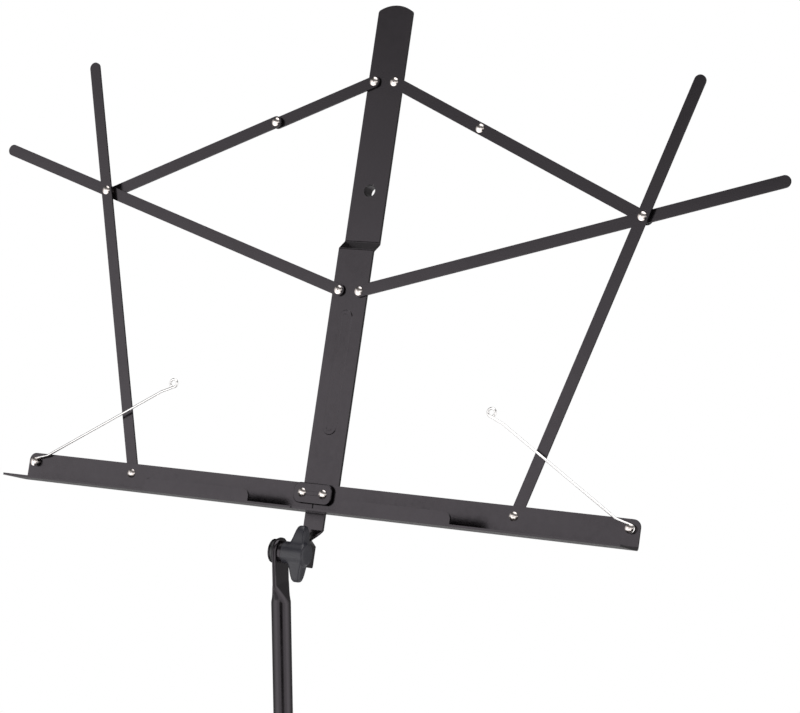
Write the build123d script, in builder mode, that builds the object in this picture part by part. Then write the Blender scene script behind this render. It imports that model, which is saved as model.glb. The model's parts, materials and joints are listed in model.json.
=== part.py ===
"""Folding music stand: wire-arm desk, tilt joint, three-tube pole and folding tripod.

Row frame: millimetres, +Z up, +X to the player's right, +Y away from the player.
The origin is on the floor, below the middle of the whole stand.
"""
from build123d import *
import os
from math import asin, atan2, cos, degrees, hypot, pi, radians, sin

# ---------------------------------------------------------------- driving dimensions

# Sheet and wire stock
BAR_SHEET = 2.5
STRIP_SHEET = 1.6
STRIP_WIDTH = 8.8
LAYER_GAP = 0.3
WIRE_DIAMETER = 1.8

# Folding linkage, in the desk plane (x to the right, height above the tray pivots)
PIVOT_X = 8.5
TRAY_LINK = 150.0
ARM_LINK = 224.0
INNER_LINK = 84.0
OUTER_LINK = 150.0
TOP_PIVOT_HEIGHT = 308.0
LOWER_ARM_OVERHANG = 106.0
OUTER_BAR_OVERHANG = 105.0

# Centre bar
BAR_WIDTH = 28.5
BAR_TOP = 362.0
BAR_CROWN = 4.5
BAR_FOOT = -10.0
JOGGLE_START = 181.3
JOGGLE_END = 187.7
JOGGLE_DEPTH = 7.4
HANG_HOLE_HEIGHT = 226.3
HANG_HOLE_RADIUS = 4.6
HANG_SLEEVE_LENGTH = 10.0
HANG_SLEEVE_WALL = 1.4
BAR_SHOULDER = 5.0
BEAD_WIDTH = 11.0
BEAD_LOW = 44.0
BEAD_HIGH = 136.0
BEAD_RISE = 0.7

# Twisted neck and tilt ear at the bottom of the centre bar
NECK_WIDTH = 16.0
NECK_X = -1.75
TWIST_TOP = -25.0
TWIST_BOTTOM = -36.8
TWIST_STEPS = 6
EAR_HEIGHT = 15.4
EAR_SHIFT = 3.0
TILT_FORWARD = 35.6
TILT_DROP = 44.8
TILT_REST = 18.5

# Tray halves
TRAY_END = 252.5
TRAY_INNER = 0.4
TRAY_TOP = 7.4
TRAY_BOTTOM = -13.7
TRAY_DEPTH = 32.0
TRAY_BEND = 1.8
TRAY_END_CORNER = 5.5
LIP_START = 36.5
LIP_END = 125.5
LIP_TOP = -3.7
LIP_CORNER = 4.5

# Cover plate and its rivets
COVER_LENGTH = 31.0
COVER_HEIGHT = 15.0
COVER_CORNER = 5.0
COVER_SHEET = 1.8

# Page wires
WIRE_PIVOT_X = 246.0
WIRE_PIVOT_HEIGHT = 0.6
WIRE_LOW_BEND = (235.0, 6.2)
WIRE_HIGH_BEND = (141.5, 63.0)
WIRE_EYE = (132.0, 70.0)
WIRE_EYE_RADIUS = 2.9

# Tray pivots
TRAY_RIVET_RADIUS = 2.0
BUSH_RADIUS = 3.0
BUSH_SHOULDER = 5.0
WASHER_SHEET = 1.5

# Rivets
RIVET_RADIUS = 1.6
RIVET_HEAD_RADIUS = 3.25
RIVET_HEAD_HEIGHT = 1.2
RIVET_TAIL_RADIUS = 2.6
RIVET_TAIL = 0.9
SPACER_RADIUS = 3.4
RUNNING = 0.05

# Pole
POLE_X = -4.85
POLE_Y = -70.8
TILT_HEIGHT = 1050.0
UPPER_RADIUS = 7.0
MIDDLE_RADIUS = 9.3
LOWER_RADIUS = 11.6
TUBE_WALL = 1.1
UPPER_BOTTOM = 630.0
MIDDLE_BOTTOM = 360.0
MIDDLE_TOP = 790.0
LOWER_BOTTOM = 26.0
LOWER_TOP = 490.0
TONGUE_WIDTH = 20.0
TONGUE_SHEET = 3.1
TONGUE_LENGTH = 22.0
CRIMP_LENGTH = 16.0
CRIMP_HALF_WIDTH = 8.6
CRIMP_HALF_DEPTH = 4.6
BUSH_LENGTH = 22.0
GUIDE_LENGTH = 18.0

# Tilt bolt and knob
BOLT_RADIUS = 3.0
BOLT_HEAD_RADIUS = 8.5
BOLT_HEAD_CROWN = 2.2
BOLT_HEAD_EDGE = 0.9
KNOB_SPAN = 40.0
KNOB_HUB_RADIUS = 7.8
KNOB_LENGTH = 17.7
KNOB_THICKNESS = 9.5
KNOB_LEAN = 16.0
KNOB_INSERT_RADIUS = 5.0
KNOB_BORE_SHARE = 0.55
# Places along +X of the faces in the tilt joint
TILT_STACK = {"washer_left": -9.2, "tongue_left": -6.4, "knob": -0.2}

# Clamp collars and their wing screws
CLAMP_WALL = 3.7
CLAMP_HEIGHT = 26.0
CLAMP_LIP = 3.0
BOSS_RADIUS = 6.5
BOSS_REACH = 20.0
SCREW_RADIUS = 2.5
SCREW_DROP = 12.0
CLAMP_AZIMUTH = 0.0
WING_SPAN = 34.0
WING_LENGTH = 15.0

# Tripod
LEG_LENGTH = 414.0
STRUT_LENGTH = 185.0
LEG_SPREAD = 39.0
LEG_PIVOT_RADIUS = 24.5
LEG_WIDTH = 11.0
LEG_WALL = 1.5
LEG_OUTER = 7.0
LEG_INNER = 5.0
STRUT_WIDTH = 7.4
STRUT_WALL = 1.4
STRUT_HALF_DEPTH = 4.5
STRUT_NOTCH = 12.0
PIN_RADIUS = 2.0
COLLAR_OUTER = 16.5
COLLAR_HEIGHT = 26.0
COLLAR_SCREW_AZIMUTH = 270.0
HUB_HEIGHT = 24.0
LUG_RADIUS = 4.5
PIN_HEAD = 3.6
PIN_HEAD_HEIGHT = 1.2
FOOT_END_HEIGHT = 5.5
FOOT_GRIP = 22.0
FOOT_TIP = 6.0
FOOT_WALL = 2.0
LEG_AZIMUTHS = {"back": 90.0, "left": 210.0, "right": 330.0}

# ---------------------------------------------------------------- worked-out geometry

os.makedirs("parts", exist_ok=True)

# Layers of the desk, as distances in front of the lower centre bar's face
LOWER_ARM_Q = LAYER_GAP
MID_HEAD_Q = LOWER_ARM_Q + STRIP_SHEET
OUTER_BAR_Q = 4.2
TRAY_Q = OUTER_BAR_Q + STRIP_SHEET + LAYER_GAP
TRAY_FRONT_Q = TRAY_Q + STRIP_SHEET
COVER_Q = TRAY_FRONT_Q + WASHER_SHEET
OUTER_LINK_Q = -3.9
INNER_LINK_Q = -7.0
UPPER_BAR_Q = -JOGGLE_DEPTH
WIRE_Q = TRAY_FRONT_Q + RIVET_HEAD_HEIGHT + 0.1 + WIRE_DIAMETER / 2

# The open linkage is a kite (tray link, lower arm, outer bar) closed by two straight links
KITE_HALF = asin(TRAY_LINK * sin(pi / 4) / ARM_LINK)
LOWER_ARM_ANGLE = 45.0 - degrees(KITE_HALF)
MID_PIVOT = (PIVOT_X, TRAY_LINK)
BAR_PIVOT = (PIVOT_X + TRAY_LINK, 0.0)
CROSS_PIVOT = (
    PIVOT_X + ARM_LINK * cos(radians(LOWER_ARM_ANGLE)),
    TRAY_LINK + ARM_LINK * sin(radians(LOWER_ARM_ANGLE)),
)
TOP_PIVOT = (PIVOT_X, TOP_PIVOT_HEIGHT)
TOP_ANGLE = degrees(atan2(CROSS_PIVOT[1] - TOP_PIVOT[1], CROSS_PIVOT[0] - TOP_PIVOT[0]))
TOP_SPAN = hypot(CROSS_PIVOT[0] - TOP_PIVOT[0], CROSS_PIVOT[1] - TOP_PIVOT[1])
KNEE_PIVOT = (
    TOP_PIVOT[0] + INNER_LINK * cos(radians(TOP_ANGLE)),
    TOP_PIVOT[1] + INNER_LINK * sin(radians(TOP_ANGLE)),
)
TILT_SIN = sin(radians(TILT_REST))
TILT_COS = cos(radians(TILT_REST))
DESK_ORIGIN = (
    0.0,
    POLE_Y + TILT_FORWARD * TILT_COS + TILT_DROP * TILT_SIN,
    TILT_HEIGHT - TILT_FORWARD * TILT_SIN + TILT_DROP * TILT_COS,
)
# Desk plane: x to the right, y up along the desk, z out of its front face
DESK = Plane(origin=DESK_ORIGIN, x_dir=(1, 0, 0), z_dir=(0, -TILT_COS, TILT_SIN))

LEG_SIN = sin(radians(LEG_SPREAD))
LEG_COS = cos(radians(LEG_SPREAD))
COLLAR_PIVOT_Z = FOOT_END_HEIGHT + LEG_LENGTH * LEG_COS
HUB_PIVOT_Z = COLLAR_PIVOT_Z - 2 * STRUT_LENGTH * LEG_COS


def save(piece, name):
    """Name a finished piece and write its file."""
    piece.part.label = name
    export_step(piece.part, f"parts/{name}.step")


def desk_point(x, height, front=0.0):
    """Row-frame position of a desk-plane point, a distance in front of the centre bar."""
    return DESK.from_local_coords(Vector(x, height, front))


def axial_plane(frame):
    """Plane through a frame's z axis: sketch x is the radius, sketch y runs along the axis."""
    return Plane(origin=frame.origin, x_dir=frame.x_dir, z_dir=-frame.y_dir)


def at_desk(x, height, front):
    """Frame on the desk plane at one pivot, z out of the front."""
    return Plane(origin=desk_point(x, height, front), x_dir=(1, 0, 0), z_dir=DESK.z_dir)


def pole_frame(height, azimuth=0.0):
    """Frame on the pole axis, z up, x pointing out along an azimuth."""
    direction = (cos(radians(azimuth)), sin(radians(azimuth)), 0)
    return Plane(origin=(POLE_X, POLE_Y, height), x_dir=direction, z_dir=(0, 0, 1))


def screw_frame(height, azimuth):
    """Frame on the pole axis, z pointing out along a screw, x upwards."""
    direction = (cos(radians(azimuth)), sin(radians(azimuth)), 0)
    return Plane(origin=(POLE_X, POLE_Y, height), x_dir=(0, 0, 1), z_dir=direction)


def leg_plane(azimuth):
    """Upright plane of one leg: sketch x is the distance from the pole axis, y the height."""
    direction = (cos(radians(azimuth)), sin(radians(azimuth)), 0)
    normal = (sin(radians(azimuth)), -cos(radians(azimuth)), 0)
    return Plane(origin=(POLE_X, POLE_Y, 0), x_dir=direction, z_dir=normal)


def turned(frame, outline):
    """Solid of revolution about a frame's z axis from (radius, height) corners."""
    with BuildPart() as piece:
        with BuildSketch(axial_plane(frame)):
            with BuildLine():
                Polyline(*outline, close=True)
            make_face()
        revolve(axis=Axis(frame.origin, frame.z_dir))
    return piece.part


def dome(radius, edge, crown):
    """Point on the round cap, centred on the axis, between (radius, edge) and (0, crown)."""
    centre = (crown**2 - edge**2 - radius**2) / (2 * (crown - edge))
    return (radius * 0.6, centre + ((crown - centre) ** 2 - (radius * 0.6) ** 2) ** 0.5)


def rivet(frame, grip, tail, shank=RIVET_RADIUS, head=RIVET_HEAD_RADIUS, rise=RIVET_HEAD_HEIGHT):
    """Domed rivet: head above the frame, shank of one grip below it, flat formed tail."""
    shoulder = 0.3
    corners = [(0, rise), (0, -grip - tail)]
    if tail:
        corners += [(RIVET_TAIL_RADIUS, -grip - tail), (RIVET_TAIL_RADIUS, -grip)]
    corners += [(shank, -grip), (shank, 0), (head, 0), (head, shoulder)]
    with BuildPart() as piece:
        with BuildSketch(axial_plane(frame)):
            with BuildLine():
                Polyline(*corners)
                ThreePointArc((head, shoulder), dome(head, shoulder, rise), (0, rise))
            make_face()
        revolve(axis=Axis(frame.origin, frame.z_dir))
    return piece.part


def grouped(solids):
    """Several separate solids in one piece."""
    with BuildPart() as piece:
        for solid in solids:
            add(solid)
    return piece


def single(solid):
    """One ready-made solid as a piece."""
    return grouped([solid])


def mirrored(piece):
    """The left-hand copy of a right-hand desk piece."""
    with BuildPart() as copy:
        mirror(piece.part, about=Plane.YZ)
    return copy


# ---------------------------------------------------------------- desk: centre bar


def desk_side(x):
    """Side view of the desk at one x: sketch x runs forward, sketch y up along the desk."""
    return Plane(origin=desk_point(x, 0), x_dir=DESK.z_dir, z_dir=(-1, 0, 0))


def build_centre_bar():
    """Bar with its joggle, crowned top, twisted neck, tilt ear and pressed bead."""
    neck_q = -BAR_SHEET / 2
    top = BAR_TOP + BAR_CROWN
    half = BAR_WIDTH / 2
    neck_left = NECK_X - NECK_WIDTH / 2
    neck_right = NECK_X + NECK_WIDTH / 2
    ear_back = neck_q + EAR_SHIFT - NECK_WIDTH / 2
    ear_front = neck_q + EAR_SHIFT + NECK_WIDTH / 2
    ear_low = -TILT_DROP - EAR_HEIGHT / 2
    ear_high = -TILT_DROP + EAR_HEIGHT / 2
    with BuildPart() as bar:
        # Bent sheet seen from the side, then cut to its front outline
        with BuildSketch(desk_side(0)):
            with BuildLine():
                Polyline((0, TWIST_TOP), (0, JOGGLE_START), (UPPER_BAR_Q, JOGGLE_END),
                         (UPPER_BAR_Q, top), (UPPER_BAR_Q - BAR_SHEET, top),
                         (UPPER_BAR_Q - BAR_SHEET, JOGGLE_END - 1), (-BAR_SHEET, JOGGLE_START - 1),
                         (-BAR_SHEET, TWIST_TOP), close=True)
            make_face()
            fillet(vertices().filter_by_position(Axis.Y, JOGGLE_START - 2, JOGGLE_END + 2), radius=1.8)
        extrude(amount=half, both=True)
        with BuildSketch(DESK.offset(UPPER_BAR_Q - 2 * BAR_SHEET)):
            with BuildLine():
                Polyline((-half, BAR_TOP), (-half, BAR_FOOT + BAR_SHOULDER), (neck_left, BAR_FOOT),
                         (neck_left, TWIST_TOP), (neck_right, TWIST_TOP), (neck_right, BAR_FOOT),
                         (half, BAR_FOOT + BAR_SHOULDER), (half, BAR_TOP))
                ThreePointArc((half, BAR_TOP), (0, top), (-half, BAR_TOP))
            make_face()
            fillet(vertices().filter_by_position(Axis.Y, BAR_TOP - 1, BAR_TOP + 1), radius=3)
        extrude(amount=JOGGLE_DEPTH + 4 * BAR_SHEET, mode=Mode.INTERSECT)
        # Neck turned a quarter, its right edge coming forward
        for step in range(TWIST_STEPS + 1):
            share = step / TWIST_STEPS
            height = TWIST_TOP + (TWIST_BOTTOM - TWIST_TOP) * share
            turn = radians(90 * share)
            edge = DESK.x_dir * cos(turn) + DESK.z_dir * sin(turn)
            middle = desk_point(NECK_X, height, neck_q + EAR_SHIFT * share)
            with BuildSketch(Plane(middle, x_dir=edge, z_dir=DESK.y_dir)):
                Rectangle(NECK_WIDTH, BAR_SHEET)
        loft()
        # Ear, running down from the neck and then forward to the tilt bolt
        with BuildSketch(desk_side(NECK_X)):
            with BuildLine():
                Polyline((ear_front, TWIST_BOTTOM), (ear_front, ear_high), (TILT_FORWARD, ear_high),
                         (TILT_FORWARD, ear_low), (ear_back, ear_low), (ear_back, TWIST_BOTTOM),
                         close=True)
            make_face()
            fillet(vertices().filter_by_position(Axis.Y, ear_low - 1, ear_low + 1).sort_by(Axis.X)[0],
                   radius=1.5)
            with Locations((TILT_FORWARD, -TILT_DROP)):
                Circle(EAR_HEIGHT / 2)
                Circle(BOLT_RADIUS + RUNNING, mode=Mode.SUBTRACT)
        extrude(amount=BAR_SHEET / 2, both=True)
        # Pressed stiffening bead, with a shallow groove along its middle
        bead_middle = (0, (BEAD_LOW + BEAD_HIGH) / 2)
        bead_run = BEAD_HIGH - BEAD_LOW - BEAD_WIDTH
        with BuildSketch(DESK):
            with Locations(bead_middle):
                SlotCenterToCenter(bead_run, BEAD_WIDTH, rotation=90)
        extrude(amount=BEAD_RISE, taper=35)
        with BuildSketch(DESK.offset(BEAD_RISE)):
            with Locations(bead_middle):
                SlotCenterToCenter(bead_run, BEAD_WIDTH / 2.2, rotation=90)
        extrude(amount=-BEAD_RISE / 2, taper=35, mode=Mode.SUBTRACT)
        # Rivet holes, tray bush holes and the hanging hole
        with BuildSketch(DESK.offset(UPPER_BAR_Q - 2 * BAR_SHEET)):
            with Locations((-PIVOT_X, TRAY_LINK), (PIVOT_X, TRAY_LINK),
                           (-PIVOT_X, TOP_PIVOT_HEIGHT), (PIVOT_X, TOP_PIVOT_HEIGHT)):
                Circle(RIVET_RADIUS)
            with Locations((-PIVOT_X, 0), (PIVOT_X, 0)):
                Circle(TRAY_RIVET_RADIUS)
            with Locations((0, HANG_HOLE_HEIGHT)):
                Circle(HANG_HOLE_RADIUS)
        extrude(amount=JOGGLE_DEPTH + 4 * BAR_SHEET, mode=Mode.SUBTRACT)
    return bar


def build_hang_sleeve():
    """Short sleeve behind the bar that carries the hanging hole on backwards."""
    back = UPPER_BAR_Q - BAR_SHEET
    with BuildPart() as sleeve:
        with BuildSketch(at_desk(0, HANG_HOLE_HEIGHT, back)):
            Circle(HANG_HOLE_RADIUS + HANG_SLEEVE_WALL)
            Circle(HANG_HOLE_RADIUS, mode=Mode.SUBTRACT)
        extrude(amount=-HANG_SLEEVE_LENGTH)
    return sleeve


def build_pivot_cover():
    """Small plate across the two tray pivots."""
    with BuildPart() as cover:
        with BuildSketch(DESK.offset(COVER_Q)):
            RectangleRounded(COVER_LENGTH, COVER_HEIGHT, COVER_CORNER)
            with Locations((-PIVOT_X, 0), (PIVOT_X, 0)):
                Circle(TRAY_RIVET_RADIUS, mode=Mode.SUBTRACT)
        extrude(amount=COVER_SHEET)
        chamfer(cover.faces().sort_by(Axis(DESK_ORIGIN, DESK.z_dir))[-1].outer_wire().edges(), length=0.4)
    return cover


def build_tray_bushes():
    """Shouldered bush in each tray half's pivot, with a washer in front of the tray."""
    solids = []
    shoulder_q = TRAY_Q - RUNNING
    washer_q = TRAY_FRONT_Q + RUNNING
    for x in (-PIVOT_X, PIVOT_X):
        solids.append(turned(at_desk(x, 0, 0), [
            (TRAY_RIVET_RADIUS, 0), (BUSH_SHOULDER, 0), (BUSH_SHOULDER, shoulder_q),
            (BUSH_RADIUS, shoulder_q), (BUSH_RADIUS, COVER_Q), (TRAY_RIVET_RADIUS, COVER_Q)]))
        solids.append(turned(at_desk(x, 0, 0), [
            (BUSH_RADIUS, washer_q), (BUSH_SHOULDER, washer_q),
            (BUSH_SHOULDER, COVER_Q), (BUSH_RADIUS, COVER_Q)]))
    return grouped(solids)


def build_tray_pivot_rivets():
    """Two rivets through the cover plate, the bushes and the centre bar."""
    grip = COVER_Q + COVER_SHEET + BAR_SHEET
    head_q = COVER_Q + COVER_SHEET
    return grouped([rivet(at_desk(x, 0, head_q), grip, RIVET_TAIL, shank=TRAY_RIVET_RADIUS)
                    for x in (-PIVOT_X, PIVOT_X)])


def build_bar_rivets():
    """Four rivets that carry the lower arms and the inner links on the centre bar."""
    solids = []
    for x in (-PIVOT_X, PIVOT_X):
        head_q = MID_HEAD_Q + RUNNING
        solids.append(rivet(at_desk(x, TRAY_LINK, head_q), head_q + BAR_SHEET, RIVET_TAIL))
        head_q = INNER_LINK_Q + STRIP_SHEET + RUNNING
        grip = head_q - UPPER_BAR_Q + BAR_SHEET
        solids.append(rivet(at_desk(x, TOP_PIVOT_HEIGHT, head_q), grip, RIVET_TAIL))
    return grouped(solids)


# ---------------------------------------------------------------- desk: trays


def build_tray():
    """Right tray half: upright flange, page shelf and a short upturned lip."""
    length = TRAY_END - TRAY_INNER
    shelf_top = TRAY_BOTTOM + STRIP_SHEET
    front = TRAY_Q + TRAY_DEPTH
    with BuildPart() as tray:
        with BuildSketch(desk_side(TRAY_INNER)):
            with BuildLine():
                Polyline((TRAY_Q, TRAY_TOP), (TRAY_FRONT_Q, TRAY_TOP), (TRAY_FRONT_Q, shelf_top),
                         (front, shelf_top), (front, TRAY_BOTTOM), (TRAY_Q, TRAY_BOTTOM), close=True)
            make_face()
            bend = vertices().filter_by_position(Axis.Y, TRAY_BOTTOM - 1, shelf_top + 1)
            bend = bend.filter_by_position(Axis.X, TRAY_Q - 1, TRAY_FRONT_Q + 1).sort_by(Axis.X)
            fillet(bend[0], radius=TRAY_BEND + STRIP_SHEET / 2)
            fillet(vertices().filter_by_position(Axis.X, TRAY_FRONT_Q - 0.1, TRAY_FRONT_Q + 0.1)
                   .sort_by(Axis.Y)[0], radius=TRAY_BEND - STRIP_SHEET / 2)
        extrude(amount=-length)
        # Round the flange's ends: tight about the pivot, so both halves can swing up
        for x, corner in ((TRAY_INNER, TRAY_TOP), (TRAY_END, TRAY_END_CORNER)):
            edges = tray.edges().filter_by(Axis(DESK_ORIGIN, DESK.z_dir))
            fillet(edges.sort_by_distance(desk_point(x, TRAY_TOP, TRAY_Q + STRIP_SHEET / 2))[0],
                   radius=corner)
        with BuildSketch(DESK.offset(front - STRIP_SHEET)):
            with BuildLine():
                Polyline((LIP_START, TRAY_BOTTOM), (LIP_START, LIP_TOP), (LIP_END, LIP_TOP),
                         (LIP_END, TRAY_BOTTOM), close=True)
            make_face()
            fillet(vertices().group_by(Axis.Y)[-1], radius=LIP_CORNER)
        extrude(amount=STRIP_SHEET)
        with BuildSketch(DESK.offset(TRAY_Q - STRIP_SHEET)):
            with Locations((PIVOT_X, 0)):
                Circle(BUSH_RADIUS + RUNNING)
            with Locations(BAR_PIVOT, (WIRE_PIVOT_X, WIRE_PIVOT_HEIGHT)):
                Circle(RIVET_RADIUS)
        extrude(amount=3 * STRIP_SHEET, mode=Mode.SUBTRACT)
    return tray


def build_tray_rivets():
    """Rivet over the outer bar's pivot, and the page wire's rivet with its washer."""
    wire_back = WIRE_Q - WIRE_DIAMETER / 2 - RUNNING
    wire_head = WIRE_Q + WIRE_DIAMETER / 2 + RUNNING
    wire_pivot = (WIRE_PIVOT_X, WIRE_PIVOT_HEIGHT)
    return grouped([
        rivet(at_desk(*BAR_PIVOT, TRAY_FRONT_Q), STRIP_SHEET, 0),
        rivet(at_desk(*wire_pivot, wire_head), wire_head - TRAY_Q, 0),
        turned(at_desk(*wire_pivot, 0), [
            (RIVET_RADIUS, TRAY_FRONT_Q), (RIVET_HEAD_RADIUS, TRAY_FRONT_Q),
            (RIVET_HEAD_RADIUS, wire_back), (RIVET_RADIUS, wire_back)]),
    ])


def build_page_wire():
    """Bent spring wire that holds the pages: hook round its rivet, two kinks and an eye."""
    frame = at_desk(0, 0, WIRE_Q)
    hook_radius = RIVET_RADIUS + RUNNING + WIRE_DIAMETER / 2
    pivot = Vector(WIRE_PIVOT_X, WIRE_PIVOT_HEIGHT)
    eye = Vector(*WIRE_EYE)
    low_bend = Vector(*WIRE_LOW_BEND)
    high_bend = Vector(*WIRE_HIGH_BEND)
    to_pivot = pivot - low_bend
    hook_turn = degrees(atan2(to_pivot.Y, to_pivot.X) + asin(hook_radius / to_pivot.length))
    hook_start = pivot + Vector(hook_radius, 0).rotate(Axis.Z, hook_turn + 90)
    to_eye = eye - high_bend
    eye_turn = degrees(atan2(to_eye.Y, to_eye.X) + asin(WIRE_EYE_RADIUS / to_eye.length))
    eye_start = eye + Vector(WIRE_EYE_RADIUS, 0).rotate(Axis.Z, eye_turn + 90)
    with BuildPart() as wire:
        with BuildLine() as route:
            ThreePointArc(*[pivot + Vector(hook_radius, 0).rotate(Axis.Z, hook_turn + turn)
                            for turn in (-165, -40, 90)])
            FilletPolyline(hook_start, low_bend, high_bend, eye_start, radius=3)
            ThreePointArc(*[eye + Vector(WIRE_EYE_RADIUS, 0).rotate(Axis.Z, eye_turn + turn)
                            for turn in (90, -65, -225)])
        path = route.wire().moved(frame.location)
        with BuildSketch(Plane(path @ 0, z_dir=path % 0)):
            Circle(WIRE_DIAMETER / 2)
        sweep(path=path)
    return wire


# ---------------------------------------------------------------- desk: strips


def build_strip(start, toward, length, layer, holes):
    """Flat strip with round ends: pivot at start, running toward a point for a length."""
    dx = toward[0] - start[0]
    dy = toward[1] - start[1]
    reach = hypot(dx, dy)
    middle = (start[0] + dx / reach * length / 2, start[1] + dy / reach * length / 2)
    with BuildPart() as strip:
        with BuildSketch(DESK.offset(layer)):
            with Locations(middle):
                SlotCenterToCenter(length, STRIP_WIDTH, rotation=degrees(atan2(dy, dx)))
            for hole, radius in holes:
                with Locations(hole):
                    Circle(radius, mode=Mode.SUBTRACT)
        extrude(amount=STRIP_SHEET)
    return strip


def build_cross_rivet():
    """Rivet where the outer bar, lower arm and outer link cross, with two spacers."""
    frame = at_desk(*CROSS_PIVOT, 0)
    head_q = OUTER_BAR_Q + STRIP_SHEET + RUNNING
    tail_q = OUTER_LINK_Q - RUNNING
    arm_front = LOWER_ARM_Q + STRIP_SHEET
    link_front = OUTER_LINK_Q + STRIP_SHEET
    bar_back = OUTER_BAR_Q - RUNNING
    return grouped([
        rivet(at_desk(*CROSS_PIVOT, head_q), head_q - tail_q, RIVET_TAIL),
        turned(frame, [(RIVET_RADIUS, arm_front), (SPACER_RADIUS, arm_front),
                       (SPACER_RADIUS, bar_back), (RIVET_RADIUS, bar_back)]),
        turned(frame, [(RIVET_RADIUS, link_front + RUNNING), (SPACER_RADIUS, link_front + RUNNING),
                       (SPACER_RADIUS, LOWER_ARM_Q), (RIVET_RADIUS, LOWER_ARM_Q)]),
    ])


def build_knee_rivet():
    """Front half of the knee joint, on the outer link."""
    return single(rivet(at_desk(*KNEE_PIVOT, OUTER_LINK_Q + STRIP_SHEET), STRIP_SHEET, 0))


def build_knee_washer():
    """Rear half of the knee joint: stud and spacer on the inner link."""
    front = INNER_LINK_Q + STRIP_SHEET
    return single(turned(at_desk(*KNEE_PIVOT, 0), [
        (0, INNER_LINK_Q), (RIVET_RADIUS, INNER_LINK_Q), (RIVET_RADIUS, front),
        (RIVET_HEAD_RADIUS, front), (RIVET_HEAD_RADIUS, OUTER_LINK_Q - 0.1), (0, OUTER_LINK_Q - 0.1)]))


def build_bar_end_rivet():
    """Stud in the outer bar's lower end, with its formed head behind the bar."""
    back = OUTER_BAR_Q
    tail = back - RIVET_TAIL
    return single(turned(at_desk(*BAR_PIVOT, 0), [
        (0, tail), (RIVET_TAIL_RADIUS, tail), (RIVET_TAIL_RADIUS, back),
        (RIVET_RADIUS, back), (RIVET_RADIUS, back + STRIP_SHEET), (0, back + STRIP_SHEET)]))


# ---------------------------------------------------------------- tilt joint


def tilt_frame():
    """Frame on the tilt axis: z along +X, x along the knob's wings."""
    lean = radians(KNOB_LEAN)
    return Plane(origin=(0, POLE_Y, TILT_HEIGHT), x_dir=(0, sin(lean), cos(lean)), z_dir=(1, 0, 0))


def build_wing(frame, start, bore, span, length):
    """Moulded wing knob: round hub along the frame's z axis and two lobes along its x axis."""
    half = span / 2
    root = KNOB_HUB_RADIUS - 0.8
    with BuildPart() as knob:
        with BuildSketch(frame.offset(start)):
            Circle(KNOB_HUB_RADIUS)
        extrude(amount=length, taper=2)
        with BuildSketch(axial_plane(frame)):
            with BuildLine():
                right = [(root, start + 4.0), (root + 2.4, start + length * 0.5),
                         (half - 1.2, start + length * 0.6), (half, start + length * 0.94),
                         (half * 0.6, start + length)]
                Polyline(*right, *[(-x, y) for x, y in reversed(right)], close=True)
            make_face()
            fillet(vertices().sort_by(Axis.X)[:2], radius=2.4)
            fillet(vertices().sort_by(Axis.X)[-2:], radius=2.4)
            inner = vertices().filter_by_position(Axis.Y, start + length * 0.49, start + length * 0.51)
            fillet(inner, radius=3.0)
        extrude(amount=KNOB_THICKNESS / 2, both=True)
        with BuildSketch(frame.offset(start)):
            Circle(bore)
        extrude(amount=length * KNOB_BORE_SHARE, mode=Mode.SUBTRACT)
    return knob


def build_tilt_bolt():
    """Round-head bolt through the tube's flat top, the ear and into the knob."""
    head_base = TILT_STACK["washer_left"]
    edge = head_base - BOLT_HEAD_EDGE
    crown = head_base - BOLT_HEAD_CROWN
    tip = TILT_STACK["knob"] + KNOB_LENGTH / 2
    over_radius, over_rise = dome(BOLT_HEAD_RADIUS, BOLT_HEAD_EDGE, BOLT_HEAD_CROWN)
    with BuildPart() as bolt:
        with BuildSketch(axial_plane(tilt_frame())):
            with BuildLine():
                Polyline((0, crown), (0, tip), (BOLT_RADIUS - 0.5, tip),
                         (BOLT_RADIUS, tip - 0.5), (BOLT_RADIUS, head_base),
                         (BOLT_HEAD_RADIUS, head_base), (BOLT_HEAD_RADIUS, edge))
                ThreePointArc((BOLT_HEAD_RADIUS, edge), (over_radius, head_base - over_rise),
                              (0, crown))
            make_face()
        revolve(axis=Axis((0, POLE_Y, TILT_HEIGHT), (1, 0, 0)))
    return bolt


def build_tilt_washer():
    """Thick plastic washer between the bolt head and the tube's flat top."""
    left = TILT_STACK["washer_left"]
    right = TILT_STACK["tongue_left"]
    outer = BOLT_HEAD_RADIUS - 0.3
    return single(turned(tilt_frame(), [
        (BOLT_RADIUS, left), (outer - 0.6, left), (outer, left + 0.5), (outer, right - 0.5),
        (outer - 0.6, right), (BOLT_RADIUS, right)]))


def build_tilt_nut():
    """Threaded insert moulded into the knob."""
    start = TILT_STACK["knob"]
    return single(turned(tilt_frame(), [
        (BOLT_RADIUS + RUNNING, start), (KNOB_INSERT_RADIUS, start),
        (KNOB_INSERT_RADIUS, start + KNOB_LENGTH * KNOB_BORE_SHARE),
        (BOLT_RADIUS + RUNNING, start + KNOB_LENGTH * KNOB_BORE_SHARE)]))


# ---------------------------------------------------------------- pole


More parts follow.
